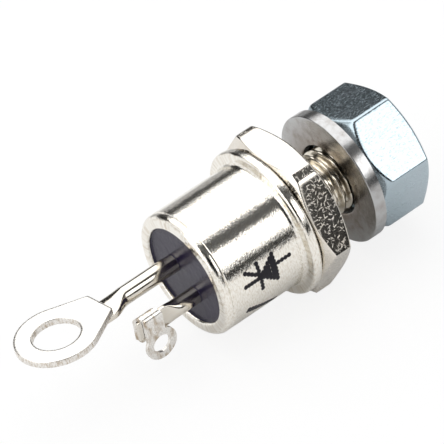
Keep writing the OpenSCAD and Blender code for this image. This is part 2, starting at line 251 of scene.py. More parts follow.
class ThyristorFinish(PropertyGroup):
    """Colours of the finishes"""

    nickel: colour("Turned nickel", "Plated copper of the base", "#E8E5E0")
    thread: colour("Thread nickel", "Plated copper of the stud", "#CBC0A8")
    cap: colour("Drawn nickel", "Plated steel of the cap", "#EDEAE3")
    warm: colour("Thin nickel", "Where the plate is thin and warmer", "#D2C9BA")
    glass: colour("Sealing glass", "Dark fused glass", "#251F39")
    tube: colour("Tube", "Plated terminal tubes", "#D3D0CA")
    tin: colour("Tin", "Tinned copper sheet", "#E6E3DE")
    shear: colour("Sheared edge", "Copper that the press drew over the edge", "#A48F73")
    washer: colour("Washer", "Plain steel of the washer", "#AEAEAE")
    # Also the colour of the painted shade round the washer's hole
    tarnish_and_shade: colour("Washer stain", "Brown tarnish on the washer", "#6E5F50")
    zinc: colour("Zinc", "Zinc plate of the nut", "#A6B7BE")
    ink: colour("Ink", "Printed symbol", "#121018")
    molybdenum: colour("Molybdenum", "Contact discs", "#8D8C8A")
    silicon: colour("Silicon", "Pellet", "#3C4048")
    rubber: colour("Silicone rubber", "Coating of the pellet's edge", "#A8402F")
    copper: colour("Copper", "Cathode lead", "#B87333")
    wire: colour("Tinned wire", "Gate lead", "#C8C4BC")


class ThyristorStage(PropertyGroup):
    """Floor, softboxes, room light and camera"""

    floor: colour("Floor", "Plain pale floor", "#F6F6F6")
    lamp: amount("Softboxes", "Brightness of the softboxes, where 1 is white", 1.1)
    ambient: amount("Ambient", "Brightness of the room on matt surfaces", 0.6)
    backlight: amount("Floor backlight", "Share of the floor that glows white, as a light table does", 0.85)
    reflected: amount("Reflected backlight", "The same share where metal and glass see the floor", 0.06)
    focal: amount("Lens", "Focal length in millimetres", 364.1)
    roll: slope("Camera roll", "Turn of the camera about its view", -10.75)


def laid(x, y, z):
    """Upright place, with x up when lying, to the row frame"""
    return SEAT_X - z, y, AXIS_Z + x


def new_piece(name, points, faces):
    """Object with a mesh of these points and faces"""
    mesh = bpy.data.meshes.new(name)
    mesh.from_pydata(points, [], faces)
    piece = bpy.data.objects.new(name, mesh)
    bpy.context.scene.collection.objects.link(piece)
    return piece


def skin(name, rings, loop=False, caps=(), second_rows=()):
    """Piece from joined rings of upright points; caps names the end rings that are closed"""
    points = [laid(*point) for ring in rings for point in ring]
    around = len(rings[0])
    faces = []
    finishes = []
    for row in range(len(rings) if loop else len(rings) - 1):
        low = row * around
        high = (row + 1) % len(rings) * around
        for step in range(around):
            after = (step + 1) % around
            faces.append((low + step, low + after, high + after, high + step))
            finishes.append(1 if row in second_rows else 0)
    for row in caps:
        first = row % len(rings) * around
        middle = [sum(part) / around for part in zip(*points[first:first + around])]
        points.append(tuple(middle))
        for step in range(around):
            faces.append((first + step, first + (step + 1) % around, len(points) - 1))
            finishes.append(1 if row < 0 and second_rows else 0)
    piece = new_piece(name, points, faces)
    mesh = piece.data
    mesh.polygons.foreach_set("material_index", finishes)
    mesh.polygons.foreach_set("use_smooth", [True] * len(faces))
    work = bmesh.new()
    work.from_mesh(mesh)
    bmesh.ops.recalc_face_normals(work, faces=work.faces)
    work.to_mesh(mesh)
    work.free()
    mesh.set_sharp_from_angle(angle=CRISP)
    return piece


def dress(piece, node, slot, *materials):
    """Lets a new piece stand for a node, ride on the part and wear its finishes"""
    for material in materials:
        piece.data.materials.append(material)
    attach(piece, "root")
    if node:
        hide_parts(node)


def wear(node, material):
    """Gives a node of the packed model its finish"""
    mesh = frame["nodes"][node].data
    mesh.materials.clear()
    mesh.materials.append(material)


def headings(steps):
    """Angles of equal steps round a circle"""
    return [2 * math.pi * step / steps for step in range(steps)]


def polar(radius, heading, height):
    """Upright point at this distance from the axis"""
    return radius * math.cos(heading), radius * math.sin(heading), height


def turned(x, y, turn):
    """Point of a plane, turned about its middle"""
    return x * math.cos(turn) - y * math.sin(turn), x * math.sin(turn) + y * math.cos(turn)


def circle(radius, height, steps):
    """Ring of upright points about the axis"""
    return [polar(radius, heading, height) for heading in headings(steps)]


def lathe(profile, steps):
    """Rings of a profile that is turned about the axis"""
    return [circle(radius, height, steps) for radius, height in profile]


def arc(middle, radius, start, end, steps=8):
    """Points of a profile's arc, from one angle to another in degrees"""
    turns = [math.radians(start + (end - start) * step / steps) for step in range(steps + 1)]
    return [(middle[0] + radius * math.cos(turn), middle[1] + radius * math.sin(turn)) for turn in turns]


def smooth(share):
    """Eases a share from 0 to 1"""
    share = min(max(share, 0.0), 1.0)
    return share * share * (3 - 2 * share)


def soft_least(values, edge):
    """Least of the values, rounded off where two of them meet"""
    least = min(values)
    return least - edge * math.log(sum(math.exp((least - value) / edge) for value in values))


def hex_reach(turn, width, corner, bruises):
    """From the axis to a hexagon's rounded outline; a bruise is a facing and its distance"""
    sides = [(math.pi / 3 * side, width / 2) for side in range(6)]
    sides += bruises
    steps = [(math.cos(turn - facing), distance) for facing, distance in sides]
    # Sides that face well away from the turn can't be the nearest
    return soft_least([distance / cosine for cosine, distance in steps if cosine > 0.4], corner)


# Rows of a turned hexagon: zone (0 lower chamfer, 1 flat, 2 upper chamfer) and share of that zone
HEX_ROWS = [(0, share) for share in (0.0, 0.15, 0.3, 0.5, 0.7, 0.85, 0.93, 0.97)]
HEX_ROWS += [(1, share) for share in (0.0, 0.01, 0.02, 0.04, 0.08, 0.2, 0.4)]
HEX_ROWS += [(1, share) for share in (0.6, 0.8, 0.92, 0.96, 0.98, 0.99)]
HEX_ROWS += [(2, share) for share in (0.0, 0.03, 0.07, 0.15, 0.3, 0.5, 0.7, 0.85, 1.0)]


def hex_rings(width, height, ends, edge, corner, steps, turn=0.0, bruises=()):
    """Rings of a hexagon from its lower face up; ends gives the inset and angle of both turned chamfers"""
    low_radius, high_radius = [width / 2 - inset for inset, chamfer in ends]
    low_rise, high_rise = [math.tan(chamfer) for inset, chamfer in ends]
    rings = []
    for zone, share in HEX_ROWS:
        ring = []
        for heading in headings(steps):
            reach = hex_reach(heading - turn, width, corner, bruises)
            low = max(reach - low_radius, 0.0) * low_rise
            high = height - max(reach - high_radius, 0.0) * high_rise
            start, end = ((0.0, low), (low, high), (high, height))[zone]
            place = start + (end - start) * share
            cones = (reach, low_radius + place / low_rise, high_radius + (height - place) / high_rise)
            ring.append(polar(soft_least(cones, edge), heading, place))
        rings.append(ring)
    return rings


def feed(node, values):
    """Gives a node's inputs numbers, colours or other nodes' outputs; those that are None stay as they are"""
    for name, value in values.items():
        if isinstance(value, bpy.types.NodeSocket):
            node.id_data.links.new(value, node.inputs[name])
        elif value is not None:
            node.inputs[name].default_value = value


def add(near, kind, values=None, **settings):
    """Adds a node with its settings and inputs to a tree, or to the tree of another node's output"""
    made = near.id_data.nodes.new(kind)
    for name, value in settings.items():
        setattr(made, name, value)
    feed(made, values or {})
    return made


def reckon(operation, first, second):
    """Result of one operation on a node's output and another value"""
    return add(first, "ShaderNodeMath", {0: first, 1: second}, operation=operation).outputs[0]


def vector(operation, place, *others):
    """Result of one operation on a place and other vectors"""
    values = dict(enumerate((place, *others)))
    return add(place, "ShaderNodeVectorMath", values, operation=operation).outputs[0]


def noise(place, size, detail, roughness=0.5):
    """Cloudy noise whose features have this size in millimetres, or one size for each direction"""
    scale = 1.0
    if isinstance(size, tuple):
        place = vector("MULTIPLY", place, tuple(per_mm(part) for part in size))
    else:
        scale = per_mm(size)
    values = {"Vector": place, "Scale": scale, "Detail": detail, "Roughness": roughness}
    return add(place, "ShaderNodeTexNoise", values).outputs["Fac"]


def spread(value, low, high, start=0.0, end=1.0):
    """Value that goes from low to high while another goes from start to end"""
    values = {"Value": value, "From Min": start, "From Max": end, "To Min": low, "To Max": high}
    return add(value, "ShaderNodeMapRange", values).outputs["Result"]


def blend(share, first, second):
    """Colour between two others"""
    values = {0: share, 6: (*first, 1.0), 7: (*second, 1.0)}
    return add(share, "ShaderNodeMix", values, data_type="RGBA").outputs[2]


def bump(height, depth, under=None, invert=False):
    """Normal of a relief that is this many millimetres deep, over another relief if there is one"""
    values = {"Height": height, "Strength": 1.0, "Distance": mm(depth), "Normal": under}
    return add(height, "ShaderNodeBump", values, invert=invert).outputs[0]


def toned(base, factor):
    """Colour made darker or paler, up to white"""
    return tuple(min(part * factor, 1.0) for part in base)


def new_material(name):
    """Material, and the place of a point on the piece that wears it"""
    material = bpy.data.materials.new(name)
    material.use_nodes = True
    return material, add(material.node_tree, "ShaderNodeTexCoord").outputs["Object"]


def coat(material, base, roughness, normal=None, metallic=1.0, ior=None, specular=None):
    """Gives a material's shader its colour, its shine and its relief"""
    values = {"Base Color": base, "Roughness": roughness, "Normal": normal, "Metallic": metallic,
              "IOR": ior, "Specular IOR Level": specular}
    feed(material.node_tree.nodes["Principled BSDF"], values)
    return material


def unrolled(place, radius):
    """Place round the axis laid flat: along the axis, then round it at this radius in millimetres"""
    centred = vector("MULTIPLY_ADD", place, (1.0, -1.0, 1.0), (0.0, 0.0, -AXIS_Z))
    parts = add(place, "ShaderNodeSeparateXYZ", {0: centred}).outputs
    turn = reckon("ARCTAN2", parts[1], parts[2])
    round_it = reckon("MULTIPLY", turn, mm(radius))
    return add(place, "ShaderNodeCombineXYZ", {0: parts[0], 1: round_it}).outputs[0]


def strokes(flat, turns, long, wide, fill):
    """Short strokes that lie each of several ways on a flat surface: 1 on a stroke and 0 off it"""
    made = 0.0
    for turn in turns:
        # Each layer is also moved, so that its strokes don't start where those of another do
        values = {"Vector": flat, "Location": (mm(turn), mm(2 * turn), 0.0),
                  "Rotation": (0.0, 0.0, math.radians(turn)), "Scale": (mm(long), mm(wide), 1.0)}
        cells = add(flat, "ShaderNodeMapping", values, vector_type="TEXTURE").outputs[0]
        spots = add(flat, "ShaderNodeTexVoronoi", {"Vector": cells, "Scale": 1.0}, voronoi_dimensions="2D")
        stroke = spread(spots.outputs["Distance"], 1.0, 0.0, fill * 0.4, fill)
        made = reckon("MAXIMUM", stroke, made)
    return made


def turned_nickel(finish):
    """Nickel plate on turned and tumbled copper"""
    # Bright metal whose flats are covered in short tumbling scratches that scatter the light every way
    material, place = new_material("Nickel plate on tumbled copper")
    flat = unrolled(place, 7.5)
    # The real scratches are finer; 0.1 mm is the finest that shows
    cut = strokes(flat, (4, 31, 55, 82, 108, 133, 160), long=1.9, wide=0.36, fill=0.13)
    depth = spread(noise(place, 0.3, 2.0), 0.0, 1.0, 0.35, 0.65)
    marks = reckon("MULTIPLY", cut, depth)
    tone = blend(noise(place, 2.2, 3.0), finish.nickel, finish.warm)
    return coat(material, tone, spread(marks, 0.1, 0.55), bump(marks, 0.004, invert=True))


def rolled_thread(finish):
    """Nickel plate on a rolled thread"""
    # Warm, soft shine: the plate is thin on the thread and the copper tints it
    material, place = new_material("Nickel plate on rolled thread")
    cloud = noise(place, 0.5, 4.0)
    return coat(material, blend(cloud, finish.thread, finish.nickel), spread(cloud, 0.08, 0.26))


def drawn_nickel(finish):
    """Nickel plate on a drawn steel cap"""
    # Mirror bright, with fine marks of polishing round it that make each reflection's edge ragged
    material, place = new_material("Nickel plate on drawn steel")
    peel = noise(unrolled(place, 6.15), (0.12, 0.38, 1.0), 2.0, 0.6)
    wave = bump(noise(place, 2.6, 1.0), 0.04)
    tone = blend(spread(peel, 0.0, 1.0, 0.42, 0.72), finish.cap, finish.warm)
    return coat(material, tone, spread(peel, 0.08, 0.2), bump(peel, 0.022, under=wave))


def fused_glass(finish):
    """Dark sealing glass, fused and left as it cooled"""
    # Dark violet grey with a satin skin and a faint grain
    material, place = new_material("Fused sealing glass")
    cloud = noise(place, 1.1, 5.0, 0.75)
    tone = blend(cloud, finish.glass, toned(finish.glass, 0.4))
    rough = spread(cloud, 0.18, 0.3)
    return coat(material, tone, rough, bump(cloud, 0.05), metallic=0.0, ior=1.46, specular=0.26)


def drawn_tube(finish):
    """Plated tube, drawn through a die"""
    # Bright, with fine lines along its length
    material, place = new_material("Plated drawn tube")
    lines = noise(place, (2.5, 0.16, 0.16), 2.0)
    tone = blend(lines, finish.tube, finish.warm)
    return coat(material, tone, spread(lines, 0.05, 0.16), bump(lines, 0.004))


def tinned_sheet(finish, name, tarnish):
    """Hot-tinned copper sheet; tarnish is how much copper shows through where the tin ran thin"""
    # Pale satin metal with soft pools of tin that run down the sheet
    material, place = new_material(name)
    pools = noise(place, (0.45, 0.45, 1.1), 4.0)
    grit = noise(place, 0.22, 2.0)
    tone = blend(spread(pools, 0.0, tarnish, 0.45, 0.66), finish.tin, finish.shear)
    return coat(material, tone, spread(grit, 0.16, 0.36), bump(grit, 0.008))


def sheared_copper(finish):
    """Edge of the sheet as the press sheared it"""
    # Brown-beige, torn into short lines across the sheet
    material, place = new_material("Sheared copper edge")
    tears = noise(place, (0.16, 0.16, 0.5), 3.0)
    tone = blend(spread(tears, 0.0, 1.0, 0.2, 0.55), finish.shear, finish.tin)
    return coat(material, tone, 0.42, bump(tears, 0.02))


def turned_steel(finish):
    """Plain washer steel, punched, with faint turning lines, tarnish and painted shade round its hole"""
    # Dull grey-brown face, darker where it is tarnished and darker still round its hole with painted shade,
    # with fine rings round its hole
    material, place = new_material("Tarnished washer steel")
    across = vector("MULTIPLY", vector("SUBTRACT", place, (0.0, 0.0, AXIS_Z)), (0.0, 1.0, 1.0))
    radius = add(place, "ShaderNodeVectorMath", {0: across}, operation="LENGTH").outputs["Value"]
    # The real lines are finer; 0.3 mm is the finest that shows
    values = {"W": reckon("MULTIPLY", radius, per_mm(0.3)), "Scale": 1.0, "Detail": 1.0}
    rings = add(place, "ShaderNodeTexNoise", values, noise_dimensions="1D").outputs["Fac"]
    blotch = noise(place, 0.8, 3.0)
    tarnish = spread(blotch, 0.0, 0.35, 0.45, 0.75)
    # Painted shade: darker and browner round the hole, where the face mirrors the shaded stud and the floor
    # under the part
    shade_round_hole = spread(radius, 0.0, 0.6, mm(6.4), mm(4.0))
    tone = blend(reckon("ADD", tarnish, shade_round_hole), finish.washer, finish.tarnish_and_shade)
    relief = bump(blotch, 0.012, under=bump(rings, 0.004))
    return coat(material, tone, spread(blotch, 0.14, 0.3), relief)


def zinc_plate(finish):
    """Bright zinc plate on a steel nut"""
    # Cold bluish metal with grain along the bar and faint rainbow tints from the passivation
    material, place = new_material("Bright zinc plate on drawn bar")
    grain = noise(place, (0.3, 0.12, 0.12), 3.0, 0.65)
    rosy = (finish.zinc[0] * 1.06, finish.zinc[1] * 0.97, finish.zinc[2] * 0.98)
    tone = blend(noise(place, 3.0, 2.0), finish.zinc, rosy)
    return coat(material, tone, spread(grain, 0.14, 0.4, 0.45, 0.75), bump(grain, 0.006))


def marking_ink(finish):
    """Indigo marking ink, sprayed in dots"""
    # Matt and a little thin, so its tone wanders
    material, place = new_material("Sprayed marking ink")
    tone = blend(noise(place, 0.3, 2.0), finish.ink, toned(finish.ink, 1.7))
    return coat(material, tone, 0.5, metallic=0.0, specular=0.25)


def inner_finish(name, base, metallic, roughness, grain):
    """Finish of a piece inside the cap, with a grain of the given size in millimetres"""
    material, place = new_material(name)
    grit = noise(place, grain, 3.0)
    tone = blend(grit, base, toned(base, 0.75))
    rough = spread(grit, roughness * 0.8, roughness * 1.2)
    return coat(material, tone, rough, bump(grit, 0.005), metallic)


class ThyristorMakeBase(Operator):
    """Turned hexagon, weld land, platform and threaded stud"""

    bl_idname = "thyristor.make_base"
    bl_label = "Base and stud"

    def execute(self, context):
        """Builds the base from its platform down to the stud's tip"""
        sizes = context.scene.thyristor_base
        finish = context.scene.thyristor_finish
        shell = context.scene.thyristor_cap
        platform_top = along("anode_disc")[0]
        land_top = along("cap_shell")[0]
        inner = shell.wall_radius - shell.wall
        top = sizes.hex_height
        # Both faces end a little inside the chamfers
        face = sizes.hex_width / 2 - sizes.chamfer_inset - mm(0.12)
        profile = [(sizes.platform, platform_top), (sizes.platform, top), (inner, top), (inner, land_top),
                   (sizes.land, land_top), (sizes.land, top), (face, top)]
        rings = lathe(profile, BASE_STEPS)
        corner = sizes.hex_width / 2 / math.cos(math.pi / 6)
        near = corner * math.cos(sizes.near_bruise_turn + math.pi / 6) - sizes.near_bruise
        far = corner * math.cos(sizes.far_bruise_turn - math.pi / 6) - sizes.far_bruise
        bruises = [(sizes.near_bruise_turn, near), (sizes.far_bruise_turn, far)]
        ends = [(sizes.chamfer_inset, sizes.chamfer), (sizes.chamfer_inset, sizes.chamfer)]
        rings += hex_rings(sizes.hex_width, top, ends, sizes.worn_edge, sizes.worn_corner, BASE_STEPS,
                           bruises=bruises)[::-1]
        radius = mm(mounts["stud"]["dims"]["r_mm"])
        # The seat, in to a small fillet at the stud
        rings += lathe([(face, 0.0), (radius + mm(0.06), 0.0)], BASE_STEPS)
        hexagon_rows = len(rings)
        rings += self.thread_rings(sizes, radius)
        piece = skin("base_and_stud", rings, caps=(0, -1), second_rows=range(hexagon_rows - 1, len(rings)))
        dress(piece, "stud_base", "nickel_plated_copper", turned_nickel(finish), rolled_thread(finish))
        return {"FINISHED"}

    def thread_rings(self, sizes, radius):
        """Rings of a right-hand thread that fades out under the seat and is chamfered at its tip"""
        tip = -along("stud_base")[0]
        rows = int(tip / sizes.thread_pitch * THREAD_ROWS)
        rings = []
        for row in range(rows + 1):
            depth_below = tip * row / rows
            fade = smooth((depth_below - sizes.thread_start) / sizes.thread_pitch)
            limit = radius - max(depth_below - tip + sizes.tip_chamfer, 0.0)
            ring = []
            for step, heading in enumerate(headings(BASE_STEPS)):
                phase = (-depth_below / sizes.thread_pitch - step / BASE_STEPS) % 1.0
                flank = smooth((min(phase, 1.0 - phase) - CREST) / FLANK)
                reach = min(radius - sizes.thread_depth * flank * fade, limit)
                ring.append(polar(reach, heading, -depth_below))
            rings.append(ring)
        return rings


class ThyristorMakeCap(Operator):
    """Drawn cap with its weld flange, rolled line and rounded rim"""

    bl_idname = "thyristor.make_cap"
    bl_label = "Cap"

    def execute(self, context):
        """Turns the cap's profile about the axis"""
        sizes = context.scene.thyristor_cap
        low, rim = along("cap_shell")
        top = low + sizes.flange_height
        edge = sizes.flange_edge
        fillet = sizes.flange_fillet
        wall = sizes.wall_radius
        line = rim - sizes.line_drop
        depth = sizes.line_depth
        inner = wall - sizes.wall
        profile = [(inner, low)]
        profile += arc((sizes.flange_radius - edge, low + edge), edge, -90, 0)
        profile += arc((sizes.flange_radius - edge, top - edge), edge, 0, 90)
        profile += arc((wall + fillet, top + fillet), fillet, -90, -180)
        profile += [(wall, line - depth), (wall - depth, line), (wall, line + depth)]
        profile += arc((wall - sizes.rim_round, rim - sizes.rim_round), sizes.rim_round, 0, 90, 12)
        profile += arc((sizes.mouth + sizes.lip_round, rim - sizes.lip_round), sizes.lip_round, 90, 180)
        profile += [(sizes.mouth, rim - sizes.collar_drop), (inner, rim - sizes.collar_drop)]
        piece = skin("drawn_cap", lathe(profile, TURNED_STEPS), loop=True)
        dress(piece, "cap_shell", "nickel_plated_steel", drawn_nickel(context.scene.thyristor_finish))
        return {"FINISHED"}


class ThyristorMakeMarking(Operator):
    """Circuit symbol of a thyristor, printed in dots on the cap"""

    bl_idname = "thyristor.make_marking"
    bl_label = "Printed symbol"

    def execute(self, context):
        """Drapes each dot over the cap's wall"""
        sizes = context.scene.thyristor_marking
        radius = context.scene.thyristor_cap.wall_radius + sizes.ink_height
        rim = [(math.cos(turn), math.sin(turn)) for turn in headings(DOT_STEPS)]
        points = []
        faces = []
        for height, heading in self.dots(sizes.dot_spacing, radius):
            first = len(points)
            for up, side in rim + [(0.0, 0.0)]:
                turn = math.radians(heading) + side * sizes.dot_radius / radius
                points.append(laid(*polar(radius, -turn, height + up * sizes.dot_radius)))
            for step in range(DOT_STEPS):
                faces.append((first + step, first + (step + 1) % DOT_STEPS, first + DOT_STEPS))
        piece = new_piece("printed_symbol", points, faces)
        dress(piece, None, "nickel_plated_steel", marking_ink(context.scene.thyristor_finish))
        return {"FINISHED"}

    def dots(self, spacing, radius):
        """Height along the axis and angle from up, in degrees, of each dot"""
        # Both ends of each line of the symbol and the bar: millimetres above the seat, degrees from up
        lines = [((7.5, 78.7), (5.86, 78.7)), ((9.23, 68.4), (9.23, 93.5)), ((9.23, 82.0), (10.94, 82.0)),
                 ((9.33, 78.7), (10.6, 70.4)), ((10.85, 109.0), (7.5, 124.0)), ((10.95, 111.5), (7.6, 126.5))]
        # Filled triangle of the symbol, in the same units: columns of dots that shorten towards its point
        columns = 6
        foot = 7.5
        tall = 1.7
        half_wide = 12.5
        middle = 81.0
        for column in range(columns):
            share = column / (columns - 1)
            height = foot + tall * share
            half = half_wide * (1 - share)
            lines.append(((height, middle - half), (height, middle + half)))
        made = []
        for start, end in lines:
            rise = mm(end[0] - start[0])
            sweep = math.radians(end[1] - start[1]) * radius
            count = max(1, math.ceil(math.hypot(rise, sweep) / spacing))
            for step in range(count + 1):
                share = step / count
                made.append((mm(start[0]) + rise * share, start[1] + (end[1] - start[1]) * share))
        return made


class ThyristorMakeGlass(Operator):
    """Fused glass that fills the cap's mouth"""

    bl_idname = "thyristor.make_glass"
    bl_label = "Glass seal"

    def execute(self, context):
        """Finishes the glass and wets it up both tubes"""
        sizes = context.scene.thyristor_terminals
        material = fused_glass(context.scene.thyristor_finish)
        wear("glass_seal", material)
        # The glass lies below the rim and climbs each tube; its fillets reach a little into glass and tube
        face = along("cap_shell")[1] - mm(0.36)
        climb = mm(0.07)
        foot = face - mm(0.05)
        spots = (("cathode", sizes.cathode_up, sizes.cathode_side, sizes.cathode_radius),
                 ("gate", -sizes.gate_down, sizes.gate_side, sizes.gate_radius))
        for name, up, side, radius in spots:
            inside = radius - mm(0.02)
            profile = [(inside, foot), (radius + climb, foot)]
            profile += arc((radius + climb, face + climb), climb, -90, -180, 6)
            profile.append((inside, face + climb))
            rings = [[(x + up, y + side, z) for x, y, z in ring] for ring in lathe(profile, FILLET_STEPS)]
            piece = skin("glass_fillet_" + name, rings, loop=True)
            dress(piece, None, "sealing_glass", material)
        return {"FINISHED"}


def crimped_rings(radius, foot, crimp, flat, end, wide, thin, shift, turn, up, side):
    """Rings of a round tube that is pressed flat, and moved sideways by the shift, towards its end"""
    # Few rings where the tube is straight, many along the crimp
    heights = [foot, crimp - mm(2), crimp - mm(0.6)]
    heights += [crimp + (flat - crimp) * row / CRIMP_ROWS for row in range(CRIMP_ROWS + 1)]
    heights += [flat + (end - flat) * share for share in (0.3, 0.6, 0.9, 1.0)]
    rings = []
    for height in heights:
        pressed = smooth((height - crimp) / (flat - crimp))
        # The last ring draws in a little, as a sheared end does
        scale = 0.93 if height == heights[-1] else 1.0
        high = radius + (thin / 2 - radius) * pressed
        broad = radius + (wide / 2 - radius) * pressed
        ring = []
        for heading in headings(TUBE_STEPS):
            cosine = math.cos(heading)
            sine = math.sin(heading)
            # A circle that turns into a flat bar: its faces turn nearly flat and its edges stay round
            x = math.copysign(abs(cosine) ** (1 - 0.72 * pressed), cosine) * high * scale
            y = math.copysign(abs(sine) ** (1 - 0.1 * pressed), sine) * broad * scale + shift * pressed
            turned_x, turned_y = turned(x, y, turn)
            ring.append((up + turned_x, side + turned_y, height))
        rings.append(ring)
    return rings


class ThyristorMakeCathode(Operator):
    """Cathode tube, crimped flat, and the stamped lug that lies on it"""

    bl_idname = "thyristor.make_cathode"
    bl_label = "Cathode terminal"

    def execute(self, context):
        """Builds the tube, then the lug"""
        sizes = context.scene.thyristor_terminals
        finish = context.scene.thyristor_finish
        rim = along("cap_shell")[1]
        foot, end = along("cathode_tube")
        crimp = rim + sizes.cathode_crimp
        flat = crimp + sizes.cathode_flare
        rings = crimped_rings(sizes.cathode_radius, foot, crimp, flat, end, sizes.cathode_wide,
                              sizes.cathode_thin, sizes.cathode_shift, sizes.lug_roll, sizes.cathode_up,
                              sizes.cathode_side)
        tube = skin("cathode_terminal_tube", rings, caps=(0, -1))
        dress(tube, "cathode_tube", "plated_tube", drawn_tube(finish))
        rings = self.lug_rings(sizes, flat + sizes.lug_start)
        # Rows of the sheared walls, in the hole and round the outline
        lug = skin("cathode_ring_lug", rings, loop=True, second_rows=(4, 5, 6, 18, 19, 20))
        sheet = tinned_sheet(finish, "Hot-tinned copper sheet", tarnish=0.12)
        dress(lug, "cathode_lug", "tinned_copper", sheet, sheared_copper(finish))
        return {"FINISHED"}

    def reach(self, sizes, heading):
        """From the middle of the eye to the lug's outline; a quarter turn points at the shoulder"""
        half = sizes.lug_shoulder
        span = math.hypot(half, sizes.lug_length)
        touch = math.pi / 2 - math.atan2(half, sizes.lug_length) - math.acos(sizes.lug_radius / span)
        folded = abs((heading + math.pi / 2) % (2 * math.pi) - math.pi)
        turn = math.pi / 2 - folded
        limits = [sizes.lug_radius if turn < touch else sizes.lug_radius / math.cos(turn - touch)]
        # The shoulder only limits the half that points at it
        if turn > 0.2:
            limits.append(sizes.lug_length / math.sin(turn))
        return soft_least(limits, mm(0.04))

    def lug_rings(self, sizes, start):
        """Rings round the lug's hole and outline, placed on the flattened tube"""
        sheet = sizes.lug_sheet
        edge = sizes.sheared_edge
        drop = sizes.sheared_drop
        # Section of the rounded edge: shares of its width and of its depth
        near = ((1.2, 0.0), (1.0, 0.0), (0.62, 0.08), (0.3, 0.3), (0.08, 0.62), (0.0, 1.0))
        section = [("hole", inset, drop * rise) for inset, rise in near]
        section += [("hole", inset, sheet - drop * rise) for inset, rise in near[::-1]]
        section += [("between", share, sheet) for share in (0.3, 0.7)]
        section += [("outline", inset, sheet - drop * rise) for inset, rise in near]
        section += [("outline", inset, drop * rise) for inset, rise in near[::-1]]
        section += [("between", share, 0.0) for share in (0.7, 0.3)]
        rings = []
        for kind, share, thick in section:
            ring = []
            for heading in headings(LUG_STEPS):
                outline = self.reach(sizes, heading)
                distance = outline - edge * share
                if kind == "hole":
                    distance = sizes.lug_hole + edge * share
                if kind == "between":
                    distance = sizes.lug_hole + (outline - sizes.lug_hole) * share
                across = distance * math.cos(heading)
                ahead = sizes.lug_length - distance * math.sin(heading)
                ring.append(self.lug_place(sizes, start, thick, across, ahead))
            rings.append(ring)
        return rings

    def lug_place(self, sizes, start, thick, across, ahead):
        """Place on the sheet to its upright place on the tube"""
        y, z = turned(across, ahead, sizes.lug_skew)
        turned_x, turned_y = turned(thick + sizes.cathode_thin / 2, y + sizes.lug_set, sizes.lug_roll)
        return turned_x + sizes.cathode_up, turned_y + sizes.cathode_side, z + start


class ThyristorMakeGate(Operator):
    """Gate tube, crimped flat inside the folded tag"""

    bl_idname = "thyristor.make_gate"
    bl_label = "Gate terminal"

    def execute(self, context):
        """Builds the tube and finishes the tag"""
        sizes = context.scene.thyristor_terminals
        finish = context.scene.thyristor_finish
        rim = along("cap_shell")[1]
        foot = along("gate_tube")[0]
        # The tube ends just inside the tag
        end = along("gate_tag")[1] - mm(0.06)
        crimp = rim + sizes.gate_crimp
        flat = crimp + sizes.gate_flare
        rings = crimped_rings(sizes.gate_radius, foot, crimp, flat, end, sizes.gate_wide, sizes.gate_thin,
                              0.0, math.pi / 2, -sizes.gate_down, sizes.gate_side)
        tube = skin("gate_terminal_tube", rings, caps=(0, -1))
        dress(tube, "gate_tube", "plated_tube", drawn_tube(finish))
        wear("gate_tag", tinned_sheet(finish, "Thinly tinned copper sheet", tarnish=0.8))
        return {"FINISHED"}


class ThyristorMakeFasteners(Operator):
    """Washer and nut on the stud"""

    bl_idname = "thyristor.make_fasteners"
    bl_label = "Washer and nut"

    def execute(self, context):
        """Turns the washer, then cuts the nut"""
        sizes = context.scene.thyristor_fasteners
        finish = context.scene.thyristor_finish
        back, front = along("flat_washer")
        edge = sizes.washer_edge
        profile = [(sizes.washer_hole, back), (sizes.washer_radius, back)]
        profile += arc((sizes.washer_radius - edge, front - edge), edge, 0, 90, 5)
        profile += arc((sizes.washer_hole + edge, front - edge), edge, 90, 180, 5)
        washer = skin("stud_washer", lathe(profile, TURNED_STEPS), loop=True)
        dress(washer, "flat_washer", "plain_steel", turned_steel(finish))
        back, front = along("hex_nut")
        height = front - back
        ends = [(sizes.nut_back, sizes.nut_back_chamfer), (sizes.nut_face, sizes.nut_face_chamfer)]
        rings = hex_rings(sizes.nut_width, height, ends, sizes.worn_edge, sizes.worn_corner, NUT_STEPS,
                          sizes.nut_turn - math.pi / 6)
        # Both faces end a little inside the chamfers
        half = sizes.nut_width / 2 - mm(0.1)
        sunk = sizes.nut_bore + sizes.countersink
        bore = [(half - sizes.nut_face, height), (sunk, height), (sizes.nut_bore, height - sizes.countersink),
                (sizes.nut_bore, sizes.countersink), (sunk, 0.0), (half - sizes.nut_back, 0.0)]
        rings += lathe(bore, NUT_STEPS)
        raised = [[(x, y, z + back) for x, y, z in ring] for ring in rings]
        nut = skin("stud_nut", raised, loop=True)
        dress(nut, "hex_nut", "zinc_plated_steel", zinc_plate(finish))
        return {"FINISHED"}


class ThyristorFinishInside(Operator):
    """Finishes of the pieces inside the cap"""

    bl_idname = "thyristor.finish_inside"
    bl_label = "Inner pieces"

    def execute(self, context):
        """Gives each inner piece the finish of its real material"""
        finish = context.scene.thyristor_finish
        # Material, colour, share of metal, roughness, grain in millimetres, and the nodes that wear it
        rows = (
            # Grey and finely ground
            ("Ground molybdenum", finish.molybdenum, 1.0, 0.35, 0.2, "anode_disc", "cathode_disc"),
            # Dark, lapped and nearly a mirror
            ("Lapped silicon", finish.silicon, 0.6, 0.15, 0.3, "silicon_pellet"),
            # Soft red rubber with a dull skin
            ("Cured silicone rubber", finish.rubber, 0.0, 0.6, 0.25, "junction_coating"),
            # Warm and bright, as the die left it
            ("Drawn bare copper", finish.copper, 1.0, 0.25, 0.2, "cathode_lead"),
            # Pale and a little dull, as it came from the tin bath
            ("Tinned copper wire", finish.wire, 1.0, 0.3, 0.2, "gate_lead"),
        )
        for name, base, metallic, roughness, grain, *nodes in rows:
            material = inner_finish(name, base, metallic, roughness, grain)
            for node in nodes:
                wear(node, material)
        return {"FINISHED"}


